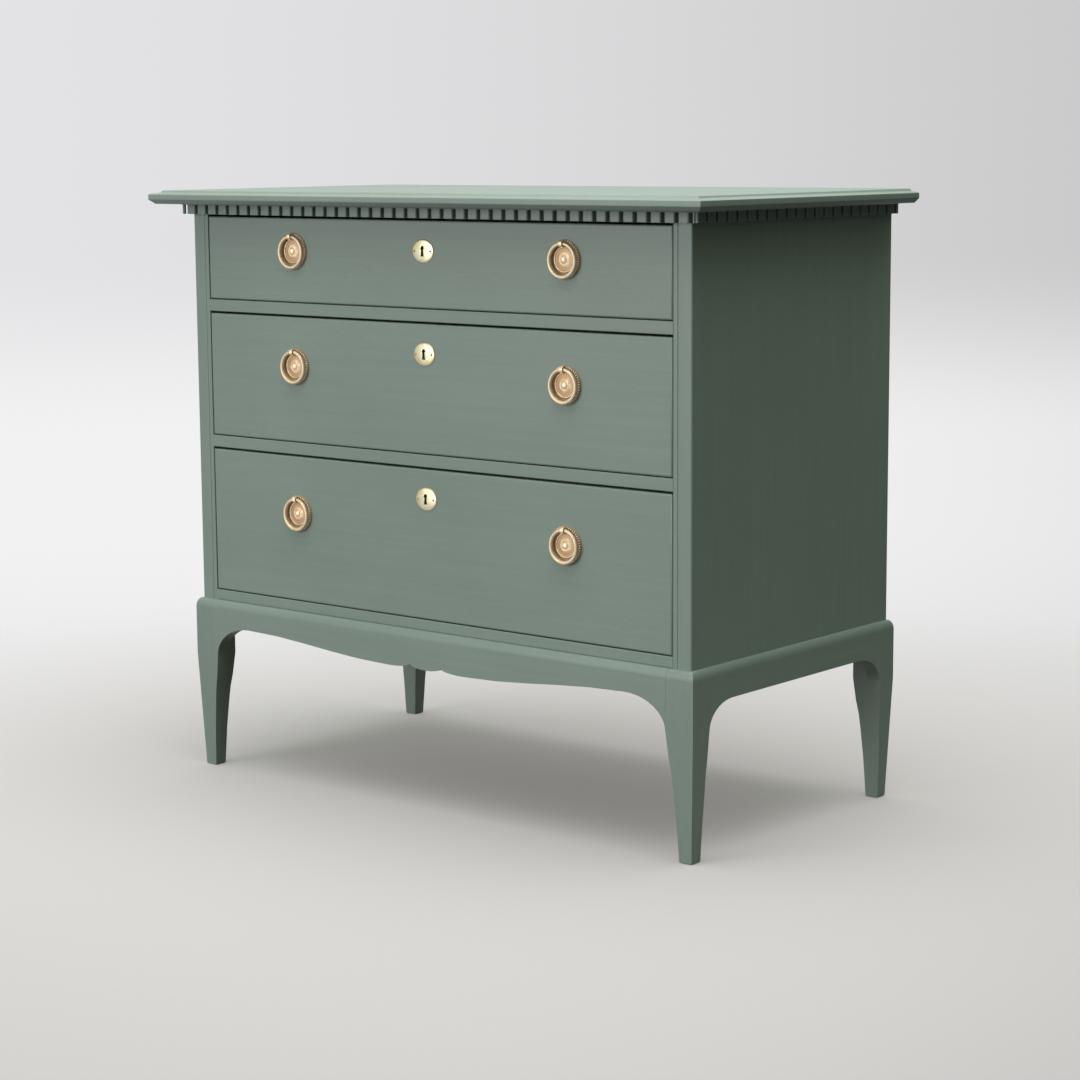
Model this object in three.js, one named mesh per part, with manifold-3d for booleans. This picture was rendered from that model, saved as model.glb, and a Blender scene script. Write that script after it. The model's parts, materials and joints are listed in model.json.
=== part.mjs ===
// Three-drawer commode chest: painted wood on tapered bracket legs, a dentil moulding under a moulded
// top, ring pulls and keyhole escutcheons of brass. Millimetres, +Z up, the front faces -Y, feet on z = 0.
import * as THREE from 'three';
import { mergeVertices } from 'three/addons/utils/BufferGeometryUtils.js';
import Module from 'manifold-3d';

// Carcass
const carcassWidth = 844;
const carcassDepth = 430;
const sidePanelThickness = 21;
const liningThickness = 7;
const backPanelThickness = 8;
const backRebateWidth = 10;
const cornerRounding = 3;
const edgeRounding = 1.2;
const railDepth = 60;
const bottomRailHeight = 14;
const dividerRailHeight = 16;
const topRailHeight = 14.5;
const tongueThickness = 5;
const tongueLength = 6;

// Drawer openings, from the floor up
const lowerOpeningHeight = 199;
const middleOpeningHeight = 170;
const upperOpeningHeight = 114.5;

// Top board
const topThickness = 18;
const topOverhang = 43;
const topBackSetback = 3;
const topSurfaceInset = 14.5;
const topUndersideInset = 6.8;

// Dentil moulding
const dentilProjection = 10.3;
const dentilHeight = 12.5;
const dentilPitch = 20.3;
const dentilGap = 4.8;
const dentilGapDepth = 8;
const dentilCornerWidth = 6;
const dentilFilletHeight = 1.5;
const dentilFilletProjection = 1;

// Base frame and legs
const baseTopHeight = 238;
const baseProjection = 7.5;
const baseEdgeHeight = 12;
const apronThickness = 20;
const legTopWidth = 41;
const legTopDepth = 34;
const legFootWidth = 18.6;
const legDrawIn = 6.5;
const legFootChamfer = 1.5;
const apronEndDepth = 78;
const frontBracketWidth = 62;
const frontApronDepth = 51;
const frontArchRise = 15;
const frontLowOffset = 65;
const cuspOffset = 26.5;
const cuspRise = 6;
const sideBracketWidth = 48;
const sideApronDepth = 43;

// Drawers
const drawerFrontThickness = 20;
const drawerSideThickness = 11;
const drawerBackThickness = 11;
const drawerBottomThickness = 6;
const drawerBottomRaise = 10;
const drawerGrooveDepth = 5;
const drawerSideGap = 1;
const drawerGapBelow = 1;
const drawerGapAbove = 2.8;
const drawerSideDrop = 6;
const drawerRearRoom = 12;
const frontEdgeRounding = 2.5;
const dovetailPitch = 37;
const dovetailLap = 6;

// Ring pulls
const pullOffset = 231;
const pullPlateRadius = 24.2;
const pullPlateThickness = 2.2;
const pullRimHeight = 1.2;
const pullRimWidth = 3;
const pullBossRadius = 5;
const pullBossHeight = 3;
const pullWireRadius = 2.5;
const pullRingInset = 1.5;
const pullRingDrop = 0.9;
const pullEyeWidth = 5;
const pullEyeWall = 1.5;
const pullEyeClearance = 0.45;

// Locks and escutcheons
const escutcheonDrop = 38.3;
const escutcheonHalfWidth = 18;
const escutcheonHalfHeight = 15;
const escutcheonThickness = 2.4;
const escutcheonRimThickness = 0.7;
const keyholeRise = 3.9;
const keyholeHeadRadius = 2.8;
const keyholeSlotWidth = 3.2;
const keyholeSlotLength = 10.7;
const keyholeWoodMargin = 0.8;
const lockWidth = 56;
const lockThickness = 10;
const lockWall = 3.7;
const boltWidth = 24;
const boltThickness = 5;
const boltKeyRoom = 8.3;
const boltMortiseDepth = 9;
const boltMortiseMargin = 1.5;
const lockPinRadius = 1.1;

// Fits and cuts
const runningGap = 0.3;
const glueLine = 0.3;
const overrun = 20;

// Shares, chosen by hand: heights up the top board and how far each one lies in from the nose
const topUnderShares = [[0, 1], [0.075, 0.76], [0.19, 0.42], [0.28, 0.14], [0.325, 0.02]];
const topUpperShares = [
  [0.36, 0], [0.68, 0], [0.715, 0.03], [0.745, 0.12], [0.79, 0.46], [0.82, 0.73], [0.86, 0.83],
  [0.93, 0.89], [0.98, 0.95], [1, 1],
];
const sweepShare = 0.37;
const tailRootShare = 0.34;
const tailEndShare = 0.42;
const pullHeightShare = 0.391;
const legInnerShares = [[0, 0], [0.33, 0.2], [0.57, 0.42], [0.69, 0.55], [0.81, 0.77], [1, 1]];
const plateRingShares = [[0.74, 0.5], [0.62, 0.9], [0.5, 0.5], [0.42, 0.15]];
const bossShares = [[1, 0], [0.8, 0.6], [0.36, 1]];
const domeShares = [[0.93, 0.3], [0.8, 0.6], [0.6, 0.84], [0.36, 0.96], [0.12, 1]];

// Counts
const fewestTails = 2;
const arcSteps = 5;
const roundingSteps = 3;
const plateSides = 24;
const wireSides = 8;
const eyeSteps = 6;
const pinSides = 8;

// Derived sizes
const overallDepth = topOverhang + carcassDepth + baseProjection;
const carcassFront = topOverhang - overallDepth / 2;
const carcassBack = carcassFront + carcassDepth;
const liningFace = carcassWidth / 2 - sidePanelThickness;
const openingHalf = liningFace - liningThickness;
const openingBack = carcassBack - backPanelThickness;
const baseHalfWidth = carcassWidth / 2 + baseProjection;
const baseFront = carcassFront - baseProjection;
const baseBack = carcassBack + baseProjection;
const lowerOpening = baseTopHeight + bottomRailHeight;
const lowerRail = lowerOpening + lowerOpeningHeight;
const middleOpening = lowerRail + dividerRailHeight;
const upperRail = middleOpening + middleOpeningHeight;
const upperOpening = upperRail + dividerRailHeight;
const topRailUnderside = upperOpening + upperOpeningHeight;
const topUnderside = topRailUnderside + topRailHeight;
const legTaperHeight = baseTopHeight - apronEndDepth;
const pullRingRadius = pullPlateRadius - pullWireRadius - pullRingInset;
const keyholeDrop = escutcheonDrop - keyholeRise;
const boltChannelDepth = keyholeDrop + keyholeSlotLength;
const lockHeight = boltChannelDepth + lockWall;
const boltLength = keyholeDrop - boltKeyRoom;
const wireStandoff = pullPlateThickness + pullRimHeight + runningGap + pullWireRadius;
const quarter = Math.PI / 2;

const X = new THREE.Vector3(1, 0, 0);
const Y = new THREE.Vector3(0, 1, 0);
const Z = new THREE.Vector3(0, 0, 1);

// Finishes
const finishes = {
  paint: { color: 0x7c8a80, roughness: 0.5, metalness: 0 },
  wood: { color: 0xb08a5c, roughness: 0.75, metalness: 0 },
  agedBrass: { color: 0xc9a878, roughness: 0.4, metalness: 0.9 },
  brightBrass: { color: 0xe6cf8c, roughness: 0.25, metalness: 1 },
  steel: { color: 0x77757a, roughness: 0.45, metalness: 0.9 },
};

function piece(name, geometry, finish) {
  const material = new THREE.MeshStandardMaterial({ ...finishes[finish], flatShading: true });
  const mesh = new THREE.Mesh(geometry, material);
  mesh.name = name;
  return mesh;
}

// Solids
const wasm = await Module();
wasm.setup();

function toSolid(geometry) {
  const bare = geometry.clone();
  bare.deleteAttribute('normal');
  bare.deleteAttribute('uv');
  const merged = mergeVertices(bare);
  const triVerts = new Uint32Array(merged.index.array);
  return new wasm.Manifold(
    new wasm.Mesh({ numProp: 3, vertProperties: merged.attributes.position.array, triVerts }),
  );
}

function toGeometry(solid) {
  const { vertProperties, triVerts } = solid.getMesh();
  const geometry = new THREE.BufferGeometry();
  geometry.setAttribute('position', new THREE.BufferAttribute(vertProperties, 3));
  geometry.setIndex(new THREE.BufferAttribute(triVerts, 1));
  return geometry;
}

function cut(body, ...tools) {
  return toGeometry(tools.reduce((solid, tool) => solid.subtract(toSolid(tool)), toSolid(body)));
}

function join(body, ...others) {
  return toGeometry(others.reduce((solid, other) => solid.add(toSolid(other)), toSolid(body)));
}

function common(body, other) {
  return toGeometry(toSolid(body).intersect(toSolid(other)));
}

// A closed skin through rings of corners, each ring turning right-handed about the way they advance
function loft(rings) {
  const sides = rings[0].length;
  const index = [];
  for (let ring = 0; ring + 1 < rings.length; ring++) {
    for (let side = 0; side < sides; side++) {
      const a = ring * sides + side;
      const b = ring * sides + ((side + 1) % sides);
      index.push(a, b, b + sides, a, b + sides, a + sides);
    }
  }
  const last = (rings.length - 1) * sides;
  for (let side = 1; side + 1 < sides; side++) {
    index.push(0, side + 1, side);
    index.push(last, last + side, last + side + 1);
  }
  const geometry = new THREE.BufferGeometry();
  geometry.setAttribute('position', new THREE.Float32BufferAttribute(rings.flat(2), 3));
  geometry.setIndex(index);
  return geometry;
}

// Round work turned about Y and standing out towards -Y, from rings of [radius, height]
function turned(profile, sides = plateSides) {
  return loft(profile.map(([radius, height]) => Array.from({ length: sides }, (_, side) => {
    const angle = (side / sides) * 2 * Math.PI;
    return [radius * Math.cos(angle), -height, radius * Math.sin(angle)];
  })));
}

// The two ends of a span, the lower one first
function between(a, b) {
  return [Math.min(a, b), Math.max(a, b)];
}

function box(x, y, z) {
  const geometry = new THREE.BoxGeometry(x[1] - x[0], y[1] - y[0], z[1] - z[0]);
  return geometry.translate((x[0] + x[1]) / 2, (y[0] + y[1]) / 2, (z[0] + z[1]) / 2);
}

function extrude(shape, length, steps) {
  return new THREE.ExtrudeGeometry(shape, { depth: length, bevelEnabled: false, curveSegments: steps });
}

// A (y, z) outline run along X, an (x, z) outline run along Y, and an (x, y) outline run along Z
function alongX(shape, [from, to], steps = arcSteps) {
  const basis = new THREE.Matrix4().makeBasis(Y, Z, X).setPosition(from, 0, 0);
  return extrude(shape, to - from, steps).applyMatrix4(basis);
}

function alongY(shape, [from, to], steps = arcSteps) {
  const basis = new THREE.Matrix4().makeBasis(X, Z, Y.clone().negate()).setPosition(0, to, 0);
  return extrude(shape, to - from, steps).applyMatrix4(basis);
}

function alongZ(shape, [from, to], steps = roundingSteps) {
  return extrude(shape, to - from, steps).translate(0, 0, from);
}

function outline(points) {
  return new THREE.Shape(points.map(([u, v]) => new THREE.Vector2(u, v)));
}

// The moulded top: the same profile runs round the front and both sides, and the back is sawn square
function topBoard() {
  const halfWidth = carcassWidth / 2 + topOverhang;
  const front = carcassFront - topOverhang;
  const back = carcassBack - topBackSetback;
  const ring = (heightShare, inset) => {
    const z = topUnderside + topThickness * heightShare;
    const x = halfWidth - inset;
    return [[-x, front + inset, z], [x, front + inset, z], [x, back, z], [-x, back, z]];
  };
  return loft([
    ...topUnderShares.map(([height, inset]) => ring(height, topUndersideInset * inset)),
    ...topUpperShares.map(([height, inset]) => ring(height, topSurfaceInset * inset)),
  ]);
}

// A run of dentil moulding along local X, its back on y = 0 and its underside on z = 0. A mitred end
// reaches out past the length by the projection, a square end doesn't.
function dentilMoulding(length, mitreStart, mitreEnd) {
  const start = -length / 2;
  const end = length / 2;
  const ring = (z, reach) => [
    [start - (mitreStart ? reach : 0), -reach, z],
    [end + (mitreEnd ? reach : 0), -reach, z],
    [end, 0, z],
    [start, 0, z],
  ];
  const filletReach = dentilProjection + dentilFilletProjection;
  const strip = loft([
    ring(0, dentilProjection),
    ring(dentilHeight, dentilProjection),
    ring(dentilHeight, filletReach),
    ring(dentilHeight + dentilFilletHeight, filletReach),
  ]);
  const firstGap = start - (mitreStart ? dentilProjection : 0) + dentilCornerWidth;
  const lastGap = end + (mitreEnd ? dentilProjection : 0) - dentilCornerWidth;
  const count = Math.round((lastGap - firstGap) / dentilPitch);
  const gaps = Array.from({ length: count + 1 }, (_, gap) => {
    const centre = firstGap + ((lastGap - firstGap) * gap) / count;
    return box(
      [centre - dentilGap / 2, centre + dentilGap / 2],
      [-dentilProjection - overrun, dentilGapDepth - dentilProjection],
      [-overrun, dentilHeight],
    );
  });
  return cut(strip, ...gaps);
}

function dentilRun(name, geometry, x, y, turn) {
  const mesh = piece(name, geometry, 'paint');
  mesh.position.set(x, y, topUnderside - dentilHeight - dentilFilletHeight);
  mesh.rotation.z = turn;
  return mesh;
}

// Side panel with a rounded front corner and a rebate for the back; side is +1 right, -1 left
function sidePanel(side) {
  const outer = (side * carcassWidth) / 2;
  const inner = side * liningFace;
  const shape = new THREE.Shape();
  shape.moveTo(inner, openingBack);
  shape.lineTo(inner, carcassFront + edgeRounding);
  shape.quadraticCurveTo(inner, carcassFront, inner + side * edgeRounding, carcassFront);
  shape.lineTo(outer - side * cornerRounding, carcassFront);
  shape.quadraticCurveTo(outer, carcassFront, outer, carcassFront + cornerRounding);
  shape.lineTo(outer, carcassBack);
  shape.lineTo(inner + side * backRebateWidth, carcassBack);
  shape.lineTo(inner + side * backRebateWidth, openingBack);
  return alongZ(shape, [baseTopHeight, topUnderside]);
}

// Upright lining inside the side panel: its edge shows beside the drawers and its face guides them
function lining(side) {
  const outer = side * liningFace;
  const inner = side * openingHalf;
  const shape = new THREE.Shape();
  shape.moveTo(outer, openingBack);
  shape.lineTo(outer, carcassFront + edgeRounding);
  shape.quadraticCurveTo(outer, carcassFront, outer - side * edgeRounding, carcassFront);
  shape.lineTo(inner + side * edgeRounding, carcassFront);
  shape.quadraticCurveTo(inner, carcassFront, inner, carcassFront + edgeRounding);
  shape.lineTo(inner, openingBack);
  return alongZ(shape, [baseTopHeight, topUnderside]);
}

// Rail across the front: eased front arrises, and a groove behind for the tongue of the board
function rail(underside, height, grooved) {
  const top = underside + height;
  const back = carcassFront + railDepth;
  const shape = new THREE.Shape();
  shape.moveTo(back, underside);
  shape.lineTo(carcassFront + edgeRounding, underside);
  shape.quadraticCurveTo(carcassFront, underside, carcassFront, underside + edgeRounding);
  shape.lineTo(carcassFront, top - edgeRounding);
  shape.quadraticCurveTo(carcassFront, top, carcassFront + edgeRounding, top);
  shape.lineTo(back, top);
  if (grooved) {
    const middle = underside + height / 2;
    shape.lineTo(back, middle + tongueThickness / 2);
    shape.lineTo(back - tongueLength - glueLine, middle + tongueThickness / 2);
    shape.lineTo(back - tongueLength - glueLine, middle - tongueThickness / 2);
    shape.lineTo(back, middle - tongueThickness / 2);
  }
  return alongX(shape, [-openingHalf, openingHalf], roundingSteps);
}

// The lock bolt rises into a mortise in the underside of the rail above its drawer
function mortise(underside) {
  const centre = carcassFront + drawerFrontThickness - lockThickness / 2;
  const halfWidth = boltWidth / 2 + boltMortiseMargin;
  const halfDepth = boltThickness / 2 + boltMortiseMargin;
  return box(
    [-halfWidth, halfWidth],
    [centre - halfDepth, centre + halfDepth],
    [underside - overrun, underside + boltMortiseDepth],
  );
}

// Board behind a rail, at the same height, that carries the drawer above as its runner
function runnerBoard(underside, height) {
  const front = carcassFront + railDepth;
  const middle = underside + height / 2;
  const shape = outline([
    [openingBack, underside],
    [openingBack, underside + height],
    [front, underside + height],
    [front, middle + tongueThickness / 2],
    [front - tongueLength, middle + tongueThickness / 2],
    [front - tongueLength, middle - tongueThickness / 2],
    [front, middle - tongueThickness / 2],
    [front, underside],
  ]);
  return alongX(shape, [-openingHalf, openingHalf]);
}

function backPanel() {
  const half = liningFace + backRebateWidth;
  return box([-half, half], [openingBack, carcassBack], [baseTopHeight, topUnderside]);
}

// Aprons run along local X with the outer face on y = 0. The outline gives the lower edge, the
// section gives the rounded upper arris, and the board is what both have in common.
function apron(shape, halfLength) {
  const section = new THREE.Shape();
  section.moveTo(0, 0);
  section.lineTo(0, baseTopHeight - baseEdgeHeight);
  section.absellipse(
    baseProjection, baseTopHeight - baseEdgeHeight, baseProjection, baseEdgeHeight, Math.PI, quarter, true,
  );
  section.lineTo(apronThickness, baseTopHeight);
  section.lineTo(apronThickness, 0);
  const blank = alongY(shape, [-overrun, apronThickness + overrun]);
  return common(blank, alongX(section, [-halfLength - overrun, halfLength + overrun], roundingSteps));
}

// Serpentine lower edge: a bracket at each leg, a long sweep down, a cusp and a drop in the middle
function serpentineOutline(halfLength) {
  const bracketEnd = halfLength - frontBracketWidth;
  const low = baseTopHeight - frontApronDepth;
  const arch = low + frontArchRise;
  const cusp = low + cuspRise;
  const bracketHeight = arch - legTaperHeight;
  const sweep = (bracketEnd - frontLowOffset) * sweepShare;
  const cuspSpan = frontLowOffset - cuspOffset;
  const shape = new THREE.Shape();
  shape.moveTo(-halfLength, baseTopHeight);
  shape.lineTo(-halfLength, legTaperHeight);
  shape.absellipse(
    -bracketEnd, legTaperHeight, frontBracketWidth, bracketHeight, Math.PI, quarter, true,
  );
  shape.bezierCurveTo(sweep - bracketEnd, arch, -frontLowOffset - sweep, low, -frontLowOffset, low);
  shape.absellipse(-frontLowOffset, cusp, cuspSpan, cuspRise, -quarter, 0, false);
  shape.absellipse(0, cusp, cuspOffset, cuspRise, -Math.PI, 0, false);
  shape.absellipse(frontLowOffset, cusp, cuspSpan, cuspRise, -Math.PI, -quarter, false);
  shape.bezierCurveTo(frontLowOffset + sweep, low, bracketEnd - sweep, arch, bracketEnd, arch);
  shape.absellipse(bracketEnd, legTaperHeight, frontBracketWidth, bracketHeight, quarter, 0, true);
  shape.lineTo(halfLength, baseTopHeight);
  return shape;
}

// Plain lower edge between two brackets, for the sides and the back
function bracketOutline(halfLength) {
  const bracketEnd = halfLength - sideBracketWidth;
  const bracketHeight = apronEndDepth - sideApronDepth;
  const shape = new THREE.Shape();
  shape.moveTo(-halfLength, baseTopHeight);
  shape.lineTo(-halfLength, legTaperHeight);
  shape.absellipse(-bracketEnd, legTaperHeight, sideBracketWidth, bracketHeight, Math.PI, quarter, true);
  shape.absellipse(bracketEnd, legTaperHeight, sideBracketWidth, bracketHeight, quarter, 0, true);
  shape.lineTo(halfLength, baseTopHeight);
  return shape;
}

function placedApron(name, geometry, x, y, turn) {
  const mesh = piece(name, geometry, 'paint');
  mesh.position.set(x, y, 0);
  mesh.rotation.z = turn;
  return mesh;
}

// Leg with its outer corner on the local Z axis, so wide along local X and so deep along local Y at the
// top. The outer faces lean in, the inner ones taper in a hollow curve from the brackets down to a
// small square foot, and the upper arris carries on the rounded edge of the aprons.
function leg(width, depth) {
  const ring = (z, outer, innerX, innerY) => [
    [outer, outer, z], [innerX, outer, z], [innerX, innerY, z], [outer, innerY, z],
  ];
  const footInner = legDrawIn + legFootWidth;
  const footRing = (z, chamfer) => {
    return ring(z, legDrawIn + chamfer, footInner - chamfer, footInner - chamfer);
  };
  const taper = legInnerShares.map(([height, spread]) => ring(
    legFootChamfer + (legTaperHeight - legFootChamfer) * height,
    legDrawIn * (1 - height),
    footInner + (width - footInner) * spread,
    footInner + (depth - footInner) * spread,
  ));
  const edge = Array.from({ length: 2 * roundingSteps + 1 }, (_, step) => {
    const angle = (quarter * step) / (2 * roundingSteps);
    const z = baseTopHeight - baseEdgeHeight * (1 - Math.sin(angle));
    return ring(z, baseProjection * (1 - Math.cos(angle)), width, depth);
  });
  return loft([footRing(0, legFootChamfer), ...taper, ...edge]);
}

function placedLeg(name, width, depth, x, y, turn) {
  const mesh = piece(name, leg(width, depth), 'paint');
  mesh.position.set(x, y, 0);
  mesh.rotation.z = turn;
  return mesh;
}

// Dovetails at one end of a drawer side: [middle height, half height at the root, half height at the end]
function tailRows(bottom, height) {
  const count = Math.max(fewestTails, Math.round(height / dovetailPitch));
  const pitch = height / count;
  return Array.from({ length: count }, (_, row) => [
    bottom + pitch * (row + 1 / 2), pitch * tailRootShare, pitch * tailEndShare,
  ]);
}

// Sockets for the tails of both sides, cut in the front or the back board and run past the tails' ends
function sockets(rows, root, end, past, halfWidth) {
  const toward = Math.sign(end - root);
  const stop = end + toward * past;
  return [-1, 1].flatMap((side) => rows.map(([middle, rootHalf, endHalf]) => {
    const shape = outline([
      [root - toward * overrun, middle - rootHalf - glueLine],
      [root, middle - rootHalf - glueLine],
      [end, middle - endHalf - glueLine],
      [stop, middle - endHalf - glueLine],
      [stop, middle + endHalf + glueLine],
      [end, middle + endHalf + glueLine],
      [root, middle + rootHalf + glueLine],
      [root - toward * overrun, middle + rootHalf + glueLine],
    ]);
    const inner = halfWidth - drawerSideThickness - glueLine;
    return alongX(shape, between(side * inner, side * (halfWidth + overrun)));
  }));
}

// Keyhole outline with its head on the origin, grown by a margin
function keyhole(margin) {
  const half = keyholeSlotWidth / 2 + margin;
  const radius = keyholeHeadRadius + margin;
  const meet = Math.asin(half / radius);
  const shape = new THREE.Shape();
  shape.moveTo(-half, -keyholeSlotLength - margin);
  shape.lineTo(half, -keyholeSlotLength - margin);
  shape.absarc(0, 0, radius, meet - quarter, 3 * quarter - meet, false);
  return shape;
}

// One drawer with its lock and pulls, in a group whose origin is the front of its opening's floor
function drawer(level, openingHeight) {
  const group = new THREE.Group();
  const halfWidth = openingHalf - drawerSideGap;
  const frontTop = openingHeight - drawerGapAbove;
  const sideBottom = runningGap;
  const sideTop = frontTop - drawerSideDrop;
  const rear = carcassDepth - backPanelThickness - drawerRearRoom;
  const backFace = rear - drawerBackThickness;
  const bottomUnder = sideBottom + drawerBottomRaise;
  const bottomTop = bottomUnder + drawerBottomThickness;
  const innerHalf = halfWidth - drawerSideThickness;
  const tongueEnd = drawerGrooveDepth - glueLine;
  const rows = tailRows(sideBottom, sideTop - sideBottom);
  const keyZ = frontTop - keyholeDrop;

  const frontRing = (y, inset) => [
    [inset - halfWidth, y, drawerGapBelow + inset],
    [inset - halfWidth, y, frontTop - inset],
    [halfWidth - inset, y, frontTop - inset],
    [halfWidth - inset, y, drawerGapBelow + inset],
  ];
  const easing = Array.from({ length: roundingSteps + 1 }, (_, step) => {
    const angle = (quarter * step) / roundingSteps;
    return frontRing(frontEdgeRounding * (1 - Math.cos(angle)), frontEdgeRounding * (1 - Math.sin(angle)));
  });
  const groove = (x, y) => box(x, y, [bottomUnder, bottomTop]);
  const lockPocket = box(
    [-lockWidth / 2 - glueLine, lockWidth / 2 + glueLine],
    [drawerFrontThickness - lockThickness - glueLine, drawerFrontThickness + overrun],
    [frontTop - lockHeight - glueLine, frontTop + overrun],
  );
  const keyway = alongY(keyhole(keyholeWoodMargin), [-overrun, drawerFrontThickness]).translate(0, 0, keyZ);
  group.add(piece(`${level}_drawer_front`, cut(
    loft([...easing, frontRing(drawerFrontThickness, 0)]),
    ...sockets(rows, drawerFrontThickness, dovetailLap, glueLine, halfWidth),
    groove([-halfWidth + dovetailLap, halfWidth - dovetailLap], [
      drawerFrontThickness - drawerGrooveDepth, drawerFrontThickness + overrun,
    ]),
    lockPocket,
    keyway,
  ), 'paint'));

  const sideOutline = outline([
    ...rows.flatMap(([middle, rootHalf, endHalf]) => [
      [drawerFrontThickness, middle - rootHalf],
      [dovetailLap, middle - endHalf],
      [dovetailLap, middle + endHalf],
      [drawerFrontThickness, middle + rootHalf],
    ]),
    [drawerFrontThickness, sideTop],
    [backFace, sideTop],
    ...rows.toReversed().flatMap(([middle, rootHalf, endHalf]) => [
      [backFace, middle + rootHalf],
      [rear, middle + endHalf],
      [rear, middle - endHalf],
      [backFace, middle - rootHalf],
    ]),
    [backFace, sideBottom],
    [drawerFrontThickness, sideBottom],
  ]);
  for (const [name, side] of [['left', -1], ['right', 1]]) {
    const reach = between(side * (innerHalf - overrun), side * (innerHalf + drawerGrooveDepth));
    const board = cut(
      alongX(sideOutline, between(side * innerHalf, side * halfWidth)),
      groove(reach, [drawerFrontThickness - drawerGrooveDepth, rear + overrun]),
    );
    group.add(piece(`${level}_drawer_side_${name}`, board, 'wood'));
  }

  group.add(piece(`${level}_drawer_back`, cut(
    box([-halfWidth, halfWidth], [backFace, rear], [bottomTop, sideTop]),
    ...sockets(rows, backFace, rear, overrun, halfWidth),
  ), 'wood'));
  group.add(piece(`${level}_drawer_bottom`, box(
    [-innerHalf - tongueEnd, innerHalf + tongueEnd],
    [drawerFrontThickness - tongueEnd, rear],
    [bottomUnder, bottomTop],
  ), 'wood'));

  group.add(...lockPieces(level, frontTop, keyZ));
  const plateZ = frontTop - (frontTop - drawerGapBelow) * pullHeightShare;
  group.add(...pullPieces(`${level}_pull`, 'left', -pullOffset, plateZ));
  group.add(...pullPieces(`${level}_pull`, 'right', pullOffset, plateZ));
  return group;
}

// Half-mortise lock let into the back of the front, its bolt in a channel, and the oval escutcheon
function lockPieces(level, frontTop, keyZ) {
  const lockFront = drawerFrontThickness - lockThickness;
  const boltMiddle = drawerFrontThickness - lockThickness / 2;
  const channel = box(
    [-boltWidth / 2 - runningGap, boltWidth / 2 + runningGap],
    [boltMiddle - boltThickness / 2 - runningGap, boltMiddle + boltThickness / 2 + runningGap],
    [frontTop - boltChannelDepth, frontTop + overrun],
  );
  const keyway = alongY(keyhole(0), [lockFront - overrun, boltMiddle]).translate(0, 0, keyZ);
  const pin = turned([
    [lockPinRadius, -drawerFrontThickness + runningGap],
    [lockPinRadius, -lockFront],
  ], pinSides).translate(0, 0, keyZ);
  const lockCase = box(
    [-lockWidth / 2, lockWidth / 2], [lockFront, drawerFrontThickness], [frontTop - lockHeight, frontTop],
  );
  const bolt = box(
    [-boltWidth / 2, boltWidth / 2],
    [boltMiddle - boltThickness / 2, boltMiddle + boltThickness / 2],
    [frontTop - boltLength, frontTop],
  );
  const domeHeight = escutcheonThickness - escutcheonRimThickness;
  const dome = turned([
    [escutcheonHalfHeight, 0],
    [escutcheonHalfHeight, escutcheonRimThickness],
    ...domeShares.map(([radius, height]) => [
      escutcheonHalfHeight * radius, escutcheonRimThickness + domeHeight * height,
    ]),
  ]).scale(escutcheonHalfWidth / escutcheonHalfHeight, 1, 1);
  const hole = alongY(keyhole(0), [-overrun, overrun]).translate(0, 0, keyholeRise);
  const escutcheon = piece(`${level}_escutcheon`, cut(dome, hole), 'brightBrass');
  escutcheon.position.z = keyZ - keyholeRise;
  return [
    piece(`${level}_lock_case`, join(cut(lockCase, channel, keyway), pin), 'steel'),
    piece(`${level}_lock_bolt`, bolt, 'steel'),
    escutcheon,
  ];
}

// Round backplate with a raised rim, a turned ring and a boss, and an eye at the top for the wire
function pullPlate(eyeZ) {
  const rimFoot = pullPlateRadius - pullRimWidth;
  const rimTop = pullPlateThickness + pullRimHeight;
  const plate = turned([
    [pullPlateRadius, 0],
    [pullPlateRadius, pullPlateThickness],
    [pullPlateRadius - pullRimWidth / 2, rimTop],
    [rimFoot, pullPlateThickness],
    ...plateRingShares.map(([radius, height]) => [
      pullPlateRadius * radius, pullPlateThickness + pullRimHeight * height,
    ]),
    ...bossShares.map(([radius, height]) => [
      pullBossRadius * radius, pullPlateThickness + pullBossHeight * height,
    ]),
  ]);
  const holeRadius = pullWireRadius + pullEyeClearance;
  const eyeRadius = holeRadius + pullEyeWall;
  const eye = new THREE.Shape();
  eye.moveTo(-pullPlateThickness / 2, eyeZ + eyeRadius);
  eye.absarc(-wireStandoff, eyeZ, eyeRadius, quarter, 3 * quarter, false);
  eye.lineTo(-pullPlateThickness / 2, eyeZ - eyeRadius);
  const hole = new THREE.Shape().absarc(-wireStandoff, eyeZ, holeRadius, 0, 4 * quarter, false);
  const eyeHalf = pullEyeWidth / 2;
  return cut(
    join(plate, alongX(eye, [-eyeHalf, eyeHalf], eyeSteps)),
    alongX(hole, [-eyeHalf - pullWireRadius, eyeHalf + pullWireRadius], eyeSteps),
  );
}

function pullPieces(name, hand, x, plateZ) {
  const eyeZ = pullRingRadius - pullRingDrop;
  const plate = piece(`${name}_plate_${hand}`, pullPlate(eyeZ), 'agedBrass');
  plate.position.set(x, 0, plateZ);
  const wire = new THREE.TorusGeometry(pullRingRadius, pullWireRadius, wireSides, plateSides);
  const ring = piece(`${name}_ring_${hand}`, wire.rotateX(quarter), 'agedBrass');
  ring.position.set(x, -wireStandoff, plateZ + eyeZ - pullRingRadius);
  return [plate, ring];
}

// Assembly
const chest = new THREE.Group();
const carcassMiddle = (carcassFront + carcassBack) / 2;
const baseSpan = { front: baseHalfWidth - legTopWidth, side: (baseBack - baseFront) / 2 - legTopDepth };

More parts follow.
